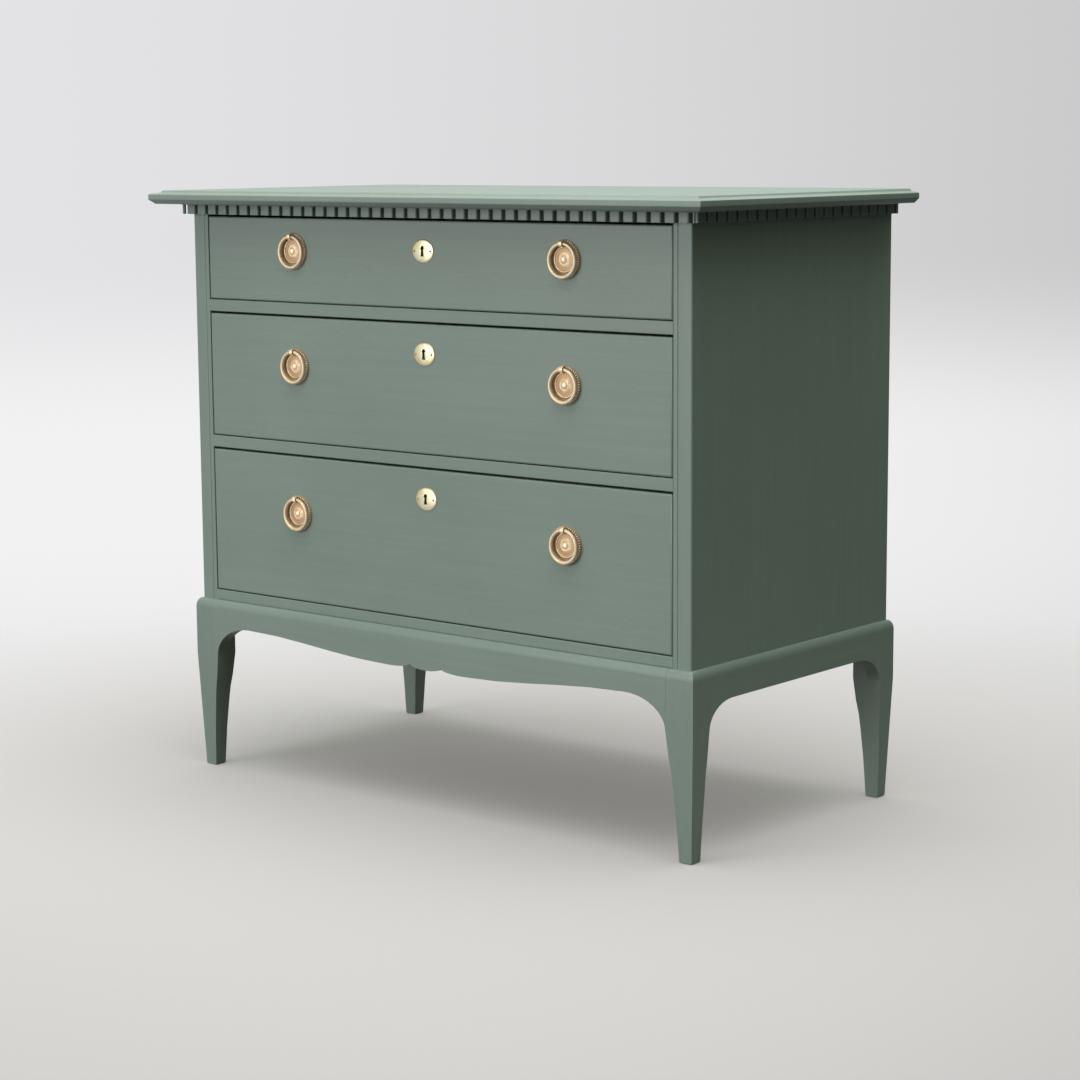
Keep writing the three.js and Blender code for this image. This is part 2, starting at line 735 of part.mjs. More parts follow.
chest.add(
  piece('top_board', topBoard(), 'paint'),
  dentilRun('dentil_moulding_front', dentilMoulding(carcassWidth, true, true), 0, carcassFront, 0),
  dentilRun(
    'dentil_moulding_right', dentilMoulding(carcassDepth, true, false),
    carcassWidth / 2, carcassMiddle, quarter,
  ),
  dentilRun(
    'dentil_moulding_left', dentilMoulding(carcassDepth, false, true),
    -carcassWidth / 2, carcassMiddle, -quarter,
  ),
  piece('side_panel_left', sidePanel(-1), 'paint'),
  piece('side_panel_right', sidePanel(1), 'paint'),
  piece('lining_left', lining(-1), 'paint'),
  piece('lining_right', lining(1), 'paint'),
  piece('back_panel', backPanel(), 'wood'),
);

chest.add(
  piece('top_rail', cut(rail(topRailUnderside, topRailHeight, false), mortise(topRailUnderside)), 'paint'),
  piece('upper_drawer_rail', cut(
    rail(upperRail, dividerRailHeight, true), mortise(upperRail),
  ), 'paint'),
  piece('lower_drawer_rail', cut(
    rail(lowerRail, dividerRailHeight, true), mortise(lowerRail),
  ), 'paint'),
  piece('bottom_rail', rail(baseTopHeight, bottomRailHeight, true), 'paint'),
  piece('upper_runner_board', runnerBoard(upperRail, dividerRailHeight), 'wood'),
  piece('lower_runner_board', runnerBoard(lowerRail, dividerRailHeight), 'wood'),
  piece('bottom_board', runnerBoard(baseTopHeight, bottomRailHeight), 'wood'),
);

chest.add(
  placedApron('front_apron', apron(serpentineOutline(baseSpan.front), baseSpan.front), 0, baseFront, 0),
  placedApron(
    'right_apron', apron(bracketOutline(baseSpan.side), baseSpan.side),
    baseHalfWidth, carcassMiddle, quarter,
  ),
  placedApron('back_apron', apron(bracketOutline(baseSpan.front), baseSpan.front), 0, baseBack, 2 * quarter),
  placedApron(
    'left_apron', apron(bracketOutline(baseSpan.side), baseSpan.side),
    -baseHalfWidth, carcassMiddle, -quarter,
  ),
  placedLeg('front_left_leg', legTopWidth, legTopDepth, -baseHalfWidth, baseFront, 0),
  placedLeg('front_right_leg', legTopDepth, legTopWidth, baseHalfWidth, baseFront, quarter),
  placedLeg('back_right_leg', legTopWidth, legTopDepth, baseHalfWidth, baseBack, 2 * quarter),
  placedLeg('back_left_leg', legTopDepth, legTopWidth, -baseHalfWidth, baseBack, -quarter),
);

for (const [level, floor, height] of [
  ['lower', lowerOpening, lowerOpeningHeight],
  ['middle', middleOpening, middleOpeningHeight],
  ['upper', upperOpening, upperOpeningHeight],
]) {
  const group = drawer(level, height);
  group.position.set(0, carcassFront, floor);
  chest.add(group);
}

export default chest;
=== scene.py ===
# %% [markdown]
# A painted commode, dressed on its frame.
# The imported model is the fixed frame. It holds every board and fitting at its real place, in metres, with
# +Z up and the drawers opening towards -Y. This notebook gives the chest its looks: painted timber with
# softened arrises, bare wood where nobody painted, and finer brass than the frame carries.

# %% Load the frame
import json
import math

import bpy
from mathutils import Matrix, Vector

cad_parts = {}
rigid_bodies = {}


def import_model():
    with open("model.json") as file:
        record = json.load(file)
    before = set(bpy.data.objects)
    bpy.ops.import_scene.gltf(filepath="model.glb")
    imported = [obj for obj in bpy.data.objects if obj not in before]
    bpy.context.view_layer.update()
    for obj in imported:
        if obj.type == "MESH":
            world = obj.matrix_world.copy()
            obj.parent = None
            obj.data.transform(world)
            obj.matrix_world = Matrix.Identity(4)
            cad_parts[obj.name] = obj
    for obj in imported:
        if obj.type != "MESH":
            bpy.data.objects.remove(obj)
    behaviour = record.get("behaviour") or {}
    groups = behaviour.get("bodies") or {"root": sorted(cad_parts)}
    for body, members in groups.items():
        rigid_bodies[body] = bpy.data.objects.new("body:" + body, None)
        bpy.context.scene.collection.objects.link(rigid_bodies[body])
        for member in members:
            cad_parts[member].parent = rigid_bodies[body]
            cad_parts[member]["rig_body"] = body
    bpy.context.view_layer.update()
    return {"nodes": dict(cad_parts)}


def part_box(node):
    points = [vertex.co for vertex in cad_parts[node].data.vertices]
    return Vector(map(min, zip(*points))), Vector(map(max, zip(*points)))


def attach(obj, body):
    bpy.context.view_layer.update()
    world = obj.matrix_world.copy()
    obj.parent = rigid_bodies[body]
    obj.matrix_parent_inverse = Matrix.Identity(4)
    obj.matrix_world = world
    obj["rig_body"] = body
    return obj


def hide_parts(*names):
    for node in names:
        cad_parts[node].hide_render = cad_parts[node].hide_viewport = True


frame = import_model()
nodes = frame["nodes"]

# %% [markdown]
# Almost every step below works on one piece at a time, as one does by hand: select it, change it, apply
# its modifiers. The frame leaves its own boards selected, so a step takes its piece first, which deselects
# everything else. The chest has three drawers, and most of its fittings come in pairs.

# %% Working on one piece
MM = 0.001
LEVELS = ("lower", "middle", "upper")
HANDS = ("left", "right")
BEVEL_STEPS = 2


def take(piece):
    """Makes the piece the only selected and the active one."""
    bpy.ops.object.select_all(action="DESELECT")
    piece.select_set(True)
    bpy.context.view_layer.objects.active = piece
    return piece


def added(name, data):
    """A new object in the scene."""
    piece = bpy.data.objects.new(name, data)
    bpy.context.scene.collection.objects.link(piece)
    return piece


def settle(piece):
    """Writes the piece's place, turn and size into its mesh, so that it lies at the origin."""
    take(piece)
    bpy.ops.object.transform_apply(location=True, rotation=True, scale=True)
    return piece


def bake_modifiers(piece):
    """Applies the piece's modifiers, first to last."""
    take(piece)
    for modifier in list(piece.modifiers):
        bpy.ops.object.modifier_apply(modifier=modifier.name)
    return piece


def rounded(piece, width, sharp=50, material=-1):
    """Rounds the edges that turn by more than sharp degrees. The new faces can get another material."""
    bevel = piece.modifiers.new("rounded edges", "BEVEL")
    bevel.width = width
    bevel.segments = BEVEL_STEPS
    bevel.limit_method = "ANGLE"
    bevel.angle_limit = math.radians(sharp)
    bevel.material = material
    return bake_modifiers(piece)


def coat(piece, material):
    """Gives the piece one material, in place of any it has."""
    piece.data.materials.clear()
    piece.data.materials.append(material)
    return piece


def triangles(*pieces):
    """How many triangles the pieces' meshes have."""
    for piece in pieces:
        piece.data.calc_loop_triangles()
    return sum(len(piece.data.loop_triangles) for piece in pieces)


# %% [markdown]
# Paint, wood and brass are all built from nodes. Shader maths is easier to read as plain expressions, so a
# Field wraps one socket, and adding, subtracting or multiplying Fields adds the Math nodes that do it.
# Every other node comes from one method, node, on the tree that it belongs to.

# %% Fields and node trees
class Field:
    """A value that a node tree works out at each point."""

    def __init__(self, nodes, socket):
        self.nodes = nodes
        self.socket = socket

    def maths(self, operation, first, second):
        """Any of the Math node's operations on two values."""
        return self.nodes.node("Math", {"operation": operation}, {0: first, 1: second})

    def __add__(self, other):
        return self.maths("ADD", self, other)

    def __radd__(self, other):
        return self.maths("ADD", other, self)

    def __sub__(self, other):
        return self.maths("SUBTRACT", self, other)

    def __rsub__(self, other):
        return self.maths("SUBTRACT", other, self)

    def __mul__(self, other):
        return self.maths("MULTIPLY", self, other)

    def __pow__(self, other):
        return self.maths("POWER", self, other)


class Nodes:
    """A node tree that nodes are added to, one call for each."""

    def __init__(self, tree):
        self.tree = tree

    def node(self, kind, settings=None, sockets=None, output=0):
        """Adds a node: its settings first, then the values or links of its sockets."""
        node = self.tree.nodes.new("ShaderNode" + kind)
        for name, value in (settings or {}).items():
            if name == "stops":
                self.set_stops(node.color_ramp, value)
            else:
                setattr(node, name, value)
        for name, value in (sockets or {}).items():
            self.feed(node.inputs[name], value)
        return Field(self, node.outputs[output])

    def set_stops(self, ramp, stops):
        """Puts colours on a ramp, each at its position."""
        while len(ramp.elements) < len(stops):
            ramp.elements.new(0.5)
        for element, (position, colour) in zip(ramp.elements, stops):
            element.position = position
            element.color = colour

    def feed(self, socket, value):
        """Links a Field to the socket, or writes a plain value into it."""
        if isinstance(value, Field):
            self.tree.links.new(value.socket, socket)
        else:
            socket.default_value = value

    def spread(self, value, low, high, to_low=0.0, to_high=1.0):
        """Maps low to high onto another range, and holds it there."""
        return self.node("MapRange", {"interpolation_type": "SMOOTHSTEP"}, {
            "Value": value, "From Min": low, "From Max": high, "To Min": to_low, "To Max": to_high,
        })

    def blend(self, factor, first, second):
        """Goes from the first colour to the second as the factor goes from 0 to 1."""
        return self.node("Mix", {"data_type": "RGBA"}, {0: factor, 6: first, 7: second}, output=2)

    def length(self, vector):
        """The length of a vector."""
        return self.node("VectorMath", {"operation": "LENGTH"}, {0: vector}, output="Value")


class Finish(Nodes):
    """A material in the making, around one Principled shader."""

    def __init__(self, name, **constants):
        self.material = bpy.data.materials.new(name)
        self.material.use_nodes = True
        super().__init__(self.material.node_tree)
        self.shader = self.tree.nodes["Principled BSDF"]
        for socket, value in constants.items():
            self.shader.inputs[socket.replace("_", " ")].default_value = value
        self.place = self.node("TexCoord", output="Object")

    def noise(self, size, stretch=(1, 1, 1), detail=3, roughness=0.55, shift=(0, 0, 0)):
        """Cloudy noise whose lumps are about size metres across, drawn out by the stretch."""
        along = self.node("Mapping", {}, {
            "Vector": self.place,
            "Location": shift,
            "Scale": [1 / (size * factor) for factor in stretch],
        })
        return self.node("TexNoise", {}, {
            "Vector": along, "Scale": 1.0, "Detail": detail, "Roughness": roughness,
        })

    def along(self, axis):
        """The place along X, Y or Z, in metres."""
        return self.node("SeparateXYZ", {}, {"Vector": self.place}, output=axis)

    def marked(self, name):
        """What an attribute of the mesh says at this point, 0 where there is none."""
        return self.node("Attribute", {"attribute_name": name}, output="Fac")

    def bump(self, height, depth, normal=None):
        """Raises the surface by height times depth metres."""
        sockets = {"Height": height, "Distance": depth, "Strength": 1.0}
        if normal is not None:
            sockets["Normal"] = normal
        return self.node("Bump", {}, sockets)

    def close(self, colour, roughness, normal, metallic=None):
        """Feeds the shader and hands over the material."""
        self.feed(self.shader.inputs["Base Color"], colour)
        self.feed(self.shader.inputs["Roughness"], roughness)
        self.feed(self.shader.inputs["Normal"], normal)
        if metallic is not None:
            self.feed(self.shader.inputs["Metallic"], metallic)
        return self.material


def pigment(red, green, blue):
    """A colour as a painter reads it off a screen, 0 to 255, made linear."""
    values = [value / 255 for value in (red, green, blue)]
    return [v / 12.92 if v <= 0.04045 else ((v + 0.055) / 1.055) ** 2.4 for v in values] + [1.0]


def drawn_out(times):
    """A stretch for each way that the grain can run."""
    return {"x": (times, 1, 1), "y": (1, times, 1), "z": (1, 1, times)}


# %% [markdown]
# The chest is brushed with a satin grey-green paint, laid on very evenly. The bristles leave faint lines
# along each board, the tone drifts by a few per cent, the wood's open pores show through as short darker
# dashes, and the arrises are lighter, partly burnished by hands and dusters and partly a painted highlight.
# Long thin noise along the grain gives bristle lines and pores, and one finish is made for each way that
# the grain runs.

# %% Painted wood
PAINT = pigment(118, 132, 126)
PAINT_LIGHT = pigment(123, 137, 130)
PAINT_DARK = pigment(112, 127, 120)
# Arris colour: lighter paint, partly burnish and partly a painted highlight along each edge.
PAINT_BURNISH_AND_HIGHLIGHT = pigment(152, 165, 156)
PAINT_PORE = pigment(96, 110, 103)
LONG_GRAIN = drawn_out(30)
SHORT_GRAIN = drawn_out(9)
PORE_DEPTH = 0.08 * MM
BRUSH_DEPTH = 0.03 * MM


def painted_wood(grain):
    """Satin paint brushed along the grain, which runs along x, y or z."""
    finish = Finish("painted_wood_" + grain, Specular_IOR_Level=0.5, IOR=1.5)
    along, short = LONG_GRAIN[grain], SHORT_GRAIN[grain]
    drift = finish.noise(0.34, detail=4)
    strokes = finish.noise(0.0045, along)
    bristles = finish.noise(0.0012, along, detail=2)
    fibres = finish.noise(0.011, along, detail=5, roughness=0.65, shift=(3.1, 1.7, 4.3))
    pores = finish.spread(finish.noise(0.0017, short, detail=2, shift=(7.7, 2.9, 5.1)), 0.58, 0.72)
    pores = pores * finish.spread(finish.noise(0.07, short, shift=(1.9, 6.4, 3.3)), 0.38, 0.66)
    tone = drift * 0.5 + strokes * 0.2 + fibres * 0.3
    colour = finish.node(
        "ValToRGB", {"stops": [(0.36, PAINT_DARK), (0.5, PAINT), (0.64, PAINT_LIGHT)]}, {"Fac": tone},
    )
    colour = finish.blend(pores * 0.4, colour, PAINT_PORE)
    patches = finish.spread(finish.noise(0.02, detail=4), 0.35, 0.7, 0.2, 0.7)
    # The bevels' paint is lighter: partly burnish, partly a painted highlight along each arris.
    burnish_and_highlight = finish.marked("arris") * patches
    colour = finish.blend(burnish_and_highlight, colour, PAINT_BURNISH_AND_HIGHLIGHT)
    roughness = 0.4 + strokes * 0.1 + drift * 0.06 - burnish_and_highlight * 0.12
    brushed = finish.bump(strokes + bristles * 0.4, BRUSH_DEPTH)
    normal = finish.bump(fibres - pores * 0.5, PORE_DEPTH, brushed)
    return finish.close(colour, roughness, normal)


paint = {grain: painted_wood(grain) for grain in "xyz"}
print("paint finishes:", [material.name for material in paint.values()])

# %% [markdown]
# Inside, nothing was painted. The drawer boxes, runner boards and back are pale softwood, slow grown, with
# a year's ring every four millimetres. A board is a slice through those rings, so the distance from the
# tree's heart, a line along the grain somewhere outside the board, gives them: each ring darkens slowly and
# stops short at the next spring. Long soft noise bends them, and fine fibres and a little grime lie over.

# %% Bare wood
WOOD_PALE = pigment(210, 183, 148)
WOOD_MIDDLE = pigment(194, 164, 126)
WOOD_LATE = pigment(166, 131, 93)
WOOD_GRIME = pigment(120, 92, 62)
HEART = {"x": (0, 0.61, -0.42), "y": (0.09, 0, -1.13), "z": (0.3, -0.42, 0)}
ACROSS = {"x": (0, 1, 1), "y": (1, 0, 1), "z": (1, 1, 0)}
BENT_GRAIN = drawn_out(9.7)
RINGS_PER_METRE = 240.0
RINGS_BENT = 7.0
RING_END = 0.93
WOOD_DEPTH = 0.12 * MM


def bare_wood(grain):
    """Sawn and planed softwood, its grain along x, y or z."""
    finish = Finish("bare_wood_" + grain, Specular_IOR_Level=0.35)
    across = finish.node("Mapping", {}, {
        "Vector": finish.place, "Location": HEART[grain], "Scale": ACROSS[grain],
    })
    bend = finish.noise(0.05, BENT_GRAIN[grain], detail=2, roughness=0.4)
    rings = finish.length(across) * RINGS_PER_METRE + bend * RINGS_BENT
    turn = finish.node("Math", {"operation": "FRACT"}, {0: rings})
    late = turn ** 3.0 * (1.0 - finish.spread(turn, RING_END, 1.0))
    fibres = finish.noise(0.0014, LONG_GRAIN[grain], detail=4)
    stain = finish.noise(0.16, detail=5)
    growth = late * 0.55 + fibres * 0.35 + bend * 0.1
    colour = finish.node(
        "ValToRGB", {"stops": [(0.1, WOOD_PALE), (0.4, WOOD_MIDDLE), (0.75, WOOD_LATE)]}, {"Fac": growth},
    )
    colour = finish.blend(finish.spread(stain, 0.5, 0.85, 0.0, 0.45), colour, WOOD_GRIME)
    roughness = 0.62 + fibres * 0.2
    normal = finish.bump(fibres + growth * 0.5, WOOD_DEPTH)
    return finish.close(colour, roughness, normal)


wood = {grain: bare_wood(grain) for grain in "xyz"}
print("bare wood finishes:", [material.name for material in wood.values()])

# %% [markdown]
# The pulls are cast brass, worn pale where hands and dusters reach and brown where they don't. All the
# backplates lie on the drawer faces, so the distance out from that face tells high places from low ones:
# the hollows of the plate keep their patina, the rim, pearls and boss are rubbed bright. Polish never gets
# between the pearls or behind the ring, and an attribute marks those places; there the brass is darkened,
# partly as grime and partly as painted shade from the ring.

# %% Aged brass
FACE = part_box("middle_drawer_front")[0][1]
BRASS_RUBBED = pigment(240, 222, 194)
BRASS_WORN = pigment(226, 206, 176)
RING_RUBBED = pigment(210, 196, 170)
RING_WORN = pigment(199, 182, 154)
BRASS_PATINA = pigment(182, 154, 122)
# Dark brass for grime, and for painted shade under the ring and between the pearls.
BRASS_GRIME_AND_SHADE = pigment(170, 148, 112)
WEAR_DRIFT = 1.2 * MM
CAST_DEPTH = 0.12 * MM


def aged_brass(name, hollow, proud, worn, rubbed):
    """Cast brass, dark at a height of hollow metres from the drawer face and rubbed at proud metres."""
    finish = Finish(name, Metallic=1.0)
    clouds = finish.noise(0.006, detail=4)
    pits = finish.noise(0.0009)
    height = FACE - finish.along("Y") + clouds * WEAR_DRIFT
    wear = finish.spread(height, hollow + WEAR_DRIFT / 2, proud + WEAR_DRIFT / 2)
    colour = finish.blend(wear, BRASS_PATINA, worn)
    colour = finish.blend(finish.spread(clouds, 0.42, 0.7, 0.0, 0.8) * wear, colour, rubbed)
    # Where the attribute marks it the brass is darkened: grime, and painted shade under the ring.
    grime = finish.marked("grime")
    colour = finish.blend(grime * 0.9, colour, BRASS_GRIME_AND_SHADE)
    roughness = 0.6 - wear * 0.1 + pits * 0.1 + grime * 0.15
    normal = finish.bump(clouds * 0.6 + pits * 0.4, CAST_DEPTH)
    return finish.close(colour, roughness, normal, metallic=1.0 - grime * 0.5)


plate_brass = aged_brass("aged_brass_plate", 1.4 * MM, 2.9 * MM, BRASS_WORN, BRASS_RUBBED)
ring_brass = aged_brass("aged_brass_ring", 1.8 * MM, 4.0 * MM, RING_WORN, RING_RUBBED)

# %% [markdown]
# The escutcheons are thin stamped brass, polished far brighter than the pulls. A few tarnish specks, fine
# wiping scratches and a darker line against the wood keep them from looking like a flat disc of light.

# %% Bright brass
BRASS_BRIGHT = pigment(208, 202, 174)
BRASS_YELLOW = pigment(198, 184, 138)
BRASS_TARNISH = pigment(170, 152, 108)
STAMPED_DEPTH = 0.05 * MM


def bright_brass():
    """Polished sheet brass, darker towards the drawer face, and with tarnish in specks."""
    finish = Finish("bright_brass", Metallic=1.0)
    clouds = finish.noise(0.009, detail=4)
    specks = finish.noise(0.0011, detail=4, shift=(2.2, 0.4, 1.9))
    wipes = finish.noise(0.0004, (12, 1, 1), detail=2)
    # The plate is darker towards the drawer face, most of all at its flange.
    edge = finish.spread(FACE - finish.along("Y"), 0.4 * MM, 1.5 * MM, 0.75, 0.0)
    colour = finish.blend(finish.spread(clouds, 0.4, 0.7), BRASS_BRIGHT, BRASS_YELLOW)
    colour = finish.blend(edge, colour, BRASS_TARNISH)
    colour = finish.blend(finish.spread(specks, 0.62, 0.78, 0.0, 0.6), colour, BRASS_TARNISH)
    roughness = 0.3 + clouds * 0.1 + specks * 0.08
    normal = finish.bump(wipes * 0.4 + clouds * 0.6, STAMPED_DEPTH)
    return finish.close(colour, roughness, normal)


escutcheon_brass = bright_brass()

# %% [markdown]
# Locks are dull iron: file marks, a blue-black skin and rust where the skin has gone. Screws, nuts and
# nails are the same iron, but brighter and with less rust, because they were turned or drawn.

# %% Lock iron
IRON = pigment(112, 110, 112)
IRON_DARK = pigment(78, 76, 78)
IRON_BRIGHT = pigment(172, 170, 168)
RUST = pigment(112, 74, 48)
RUST_EDGE = 0.16
FILED_DEPTH = 0.08 * MM


def lock_iron(name, dark, bright, rust_from):
    """Iron from dark to bright, with rust where a noise passes rust_from."""
    finish = Finish(name)
    skin = finish.noise(0.007, detail=5)
    rust = finish.noise(0.0035, detail=6, roughness=0.7, shift=(1.3, 2.6, 0.7))
    rust = finish.spread(rust, rust_from, rust_from + RUST_EDGE, 0.0, 0.8)
    filing = finish.noise(0.0005, (1, 1, 24), detail=2)
    colour = finish.blend(finish.spread(skin, 0.35, 0.65), dark, bright)
    colour = finish.blend(rust, colour, RUST)
    roughness = 0.42 + filing * 0.12 + rust * 0.35
    normal = finish.bump(filing * 0.5 + rust * 0.8, FILED_DEPTH)
    return finish.close(colour, roughness, normal, metallic=1.0 - rust * 0.9)


iron = lock_iron("lock_steel", IRON_DARK, IRON, 0.6)
screw_iron = lock_iron("screw_steel", IRON, IRON_BRIGHT, 0.64)
print("metals:", plate_brass.name, ring_brass.name, escutcheon_brass.name, iron.name, screw_iron.name)

# %% [markdown]
# The painted boards keep the frame's shapes. A real arris is never a razor edge: it is eased with
# sandpaper and rounded again by the paint, and it is what catches the light along every board. So each
# painted board is copied from the frame, its loose triangles are merged and its flat faces made whole, and
# a bevel rounds the arrises. The bevel's own faces are marked, for the burnish and the painted highlight in
# the paint. The dentils have been rubbed rounder than that, so their upright corners get a wider bevel
# first, by edge weights.
# Nobody paints what doesn't show: the paint stops a finger's breadth inside the openings and goes round the
# edges of the drawer fronts, but their backs and those of the aprons stay bare. Such boards are first cut
# through at the line where the paint ends.

# %% Painted boards with eased arrises
SAME_POINT = 0.00001
SHORTEST_EDGE = 0.5 * MM
ARRIS = 0.5 * MM
PAINT_END = 0.5 * MM
OVERSPILL = 16 * MM
DENTIL_SETBACK = 1.0 * MM
DENTIL_SLACK = 0.3 * MM
DENTIL_UPRIGHT = 10 * MM
DENTIL_ROUNDING = 2.4 * MM
DENTIL_STEPS = 4
MITRE_END = 3 * MM
FLAT = math.radians(1)
SMOOTH = math.radians(35)


def eased_board(node, grain, arris=ARRIS, bare=None, weld=SAME_POINT, dentils_face=None):
    """A painted copy of one of the frame's boards, its arrises rounded, standing for that board.

    bare gives a place and a direction: beyond that place the painter's brush never went. A bevel is never
    wider than the shortest edge allows, so weld closes up edges that are shorter than that. dentils_face
    is the way that the dentils of a moulding face, if it has any.
    """
    source = nodes[node]
    board = take(added(node + "_painted", source.data.copy()))
    bpy.ops.object.mode_set(mode="EDIT")
    bpy.ops.mesh.select_all(action="SELECT")
    bpy.ops.mesh.remove_doubles(threshold=SAME_POINT)
    bpy.ops.mesh.dissolve_limited(angle_limit=FLAT)
    bpy.ops.mesh.select_all(action="SELECT")
    bpy.ops.mesh.remove_doubles(threshold=weld)
    if bare:
        bpy.ops.mesh.select_all(action="SELECT")
        bpy.ops.mesh.bisect(plane_co=bare[0], plane_no=bare[1])
    bpy.ops.object.mode_set(mode="OBJECT")
    coat(board, paint[grain])
    if dentils_face:
        round_dentils(board, node, Vector(dentils_face))
    if arris:
        board.data.materials.append(paint[grain])
        rounded(board, arris, material=1)
    mark_arrises(board)
    if bare:
        leave_bare(board, grain, Vector(bare[0]), Vector(bare[1]))
    bpy.ops.object.shade_smooth_by_angle(angle=SMOOTH)
    board.modifiers.new("flat faces stay flat", "WEIGHTED_NORMAL").keep_sharp = True
    bake_modifiers(board)
    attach(board, source["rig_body"])
    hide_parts(node)
    return board


def round_dentils(board, node, face):
    """Rounds the upright corners of every dentil, but not the mitred end of the moulding."""
    low, high = (Vector(corner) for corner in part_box(node))
    along = 1 if face.x else 0
    front = max(low.dot(face), high.dot(face)) - DENTIL_SETBACK
    weights = board.data.attributes.new("bevel_weight_edge", "FLOAT", "EDGE")
    for edge, weight in zip(board.data.edges, weights.data):
        one, other = (board.data.vertices[index].co for index in edge.vertices)
        upright = abs(one.z - other.z) > DENTIL_UPRIGHT
        proud = abs(one.dot(face) - front) < DENTIL_SLACK
        between = low[along] + MITRE_END < one[along] < high[along] - MITRE_END
        weight.value = float(upright and proud and between)
    rounding = board.modifiers.new("rounded dentils", "BEVEL")
    rounding.width = DENTIL_ROUNDING
    rounding.segments = DENTIL_STEPS
    rounding.limit_method = "WEIGHT"
    bake_modifiers(board)
    board.data.attributes.remove(board.data.attributes["bevel_weight_edge"])


def mark_arrises(board):
    """Turns the bevel's second material into an attribute on its faces, and leaves one material."""
    rubbed = [float(face.material_index) for face in board.data.polygons]
    board.data.attributes.new("arris", "FLOAT", "FACE").data.foreach_set("value", rubbed)
    for face in board.data.polygons:
        face.material_index = 0
    while len(board.data.materials) > 1:
        board.data.materials.pop()


def leave_bare(board, grain, place, direction):
    """Gives bare wood to the faces beyond the place."""
    board.data.materials.append(wood[grain])
    for face in board.data.polygons:
        if (face.center - place).dot(direction) > 0:
            face.material_index = 1


def inner_face(node, way):
    """A place just short of the board's last face that way, and the way itself."""
    low, high = (Vector(corner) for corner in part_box(node))
    way = Vector(way)
    edge = high if sum(way) > 0 else low
    return edge - way * PAINT_END, way


BACKWARDS = (0, 1, 0)
INSIDE = (0, FACE + OVERSPILL, 0), BACKWARDS
MOULDINGS = (
    ("dentil_moulding_front", "x", (0, -1, 0)),
    ("dentil_moulding_left", "y", (-1, 0, 0)),
    ("dentil_moulding_right", "y", (1, 0, 0)),
)
APRONS = (
    ("front_apron", "x", BACKWARDS),
    ("back_apron", "x", (0, -1, 0)),
    ("left_apron", "y", (1, 0, 0)),
    ("right_apron", "y", (-1, 0, 0)),
)
RAILS = ("top_rail", "upper_drawer_rail", "lower_drawer_rail", "bottom_rail")

boards = [eased_board("top_board", "x")]
for node, grain, way in MOULDINGS:
    boards.append(eased_board(node, grain, weld=SHORTEST_EDGE, dentils_face=way))
for node, grain, way in APRONS:
    boards.append(eased_board(node, grain, bare=inner_face(node, way)))
for hand in HANDS:
    node = "side_panel_" + hand
    boards.append(eased_board(node, "z", 0, bare=inner_face(node, BACKWARDS)))
boards += [eased_board("lining_" + hand, "z", 0, bare=INSIDE) for hand in HANDS]
boards += [eased_board(rail, "x", 0, bare=INSIDE) for rail in RAILS]
boards += [eased_board(f"{end}_{hand}_leg", "z") for end in ("front", "back") for hand in HANDS]
for level in LEVELS:
    node = level + "_drawer_front"
    boards.append(eased_board(node, "x", 0, bare=inner_face(node, BACKWARDS)))
print(len(boards), "painted boards,", triangles(*boards), "triangles")

# %% [markdown]
# The bare boards are right as the frame has them, so they only get their wood. The grain of the drawer
# sides runs from front to back and that of all the others from side to side, as a joiner would lay them.

# %% Bare boards
for node in ("back_panel", "upper_runner_board", "lower_runner_board", "bottom_board"):
    coat(nodes[node], wood["x"])
for level in LEVELS:
    for part, grain in (("side_left", "y"), ("side_right", "y"), ("back", "x"), ("bottom", "x")):
        coat(nodes[f"{level}_drawer_{part}"], wood[grain])

# %% [markdown]
# Backplates, escutcheons and bosses are round work, turned or spun in the real trade. Here a disc is drawn
# out ring by ring: extrude a little towards the viewer, then scale the new ring to its radius. Writing the
# profile as pairs of radius and height in millimetres keeps it readable, like a turner's template. Each
# kind of fitting is modelled once, with its middle on the drawer face at the origin, and copied later.

# %% Turned work
TO_VIEWER = Vector((0, -1, 0))
QUARTER = math.pi / 2
AXIS_TO_X = (0, QUARTER, 0)
AXIS_TO_Y = (QUARTER, 0, 0)


def leave_edit_mode():
    """Turns all faces outwards and goes back to object mode."""
    bpy.ops.mesh.select_all(action="SELECT")
    bpy.ops.mesh.normals_make_consistent(inside=False)
    bpy.ops.object.mode_set(mode="OBJECT")


def turned(name, profile, sides=96):
    """Round work standing out towards -Y from the origin, through (radius, height) in millimetres."""
    radius, height = profile[0]
    bpy.ops.mesh.primitive_circle_add(
        vertices=sides, radius=radius * MM, fill_type="NGON",
        location=TO_VIEWER * height * MM, rotation=AXIS_TO_Y,
    )
    form = settle(bpy.context.active_object)
    form.name = name
    bpy.ops.object.mode_set(mode="EDIT")
    bpy.ops.mesh.select_all(action="SELECT")
    for (old_radius, old_height), (radius, height) in zip(profile, profile[1:]):
        rise = TO_VIEWER * (height - old_height) * MM
        bpy.ops.mesh.extrude_region_move(TRANSFORM_OT_translate={"value": rise})
        share = radius / old_radius
        bpy.ops.transform.resize(value=(share, 1, share), center_override=TO_VIEWER * height * MM)
    leave_edit_mode()
    return form


def arc(middle, radius, start, end, steps):
    """Points of (radius, height) round a bead or hollow, angles in degrees from the outward side."""
    angles = [math.radians(start + (end - start) * step / steps) for step in range(steps + 1)]
    return [(middle[0] + radius * math.cos(a), middle[1] + radius * math.sin(a)) for a in angles]


def dome(radius, foot, rise, angles):
    """Points of (radius, height) up a flattened dome that stands at the foot's height."""
    angles = [math.radians(angle) for angle in angles]
    return [(radius * math.cos(a), foot + rise * math.sin(a)) for a in angles]


def joined(name, *parts):
    """Several parts made one piece."""
    take(parts[0])
    for part in parts[1:]:
        part.select_set(True)
    bpy.ops.object.join()
    parts[0].name = name
    return parts[0]


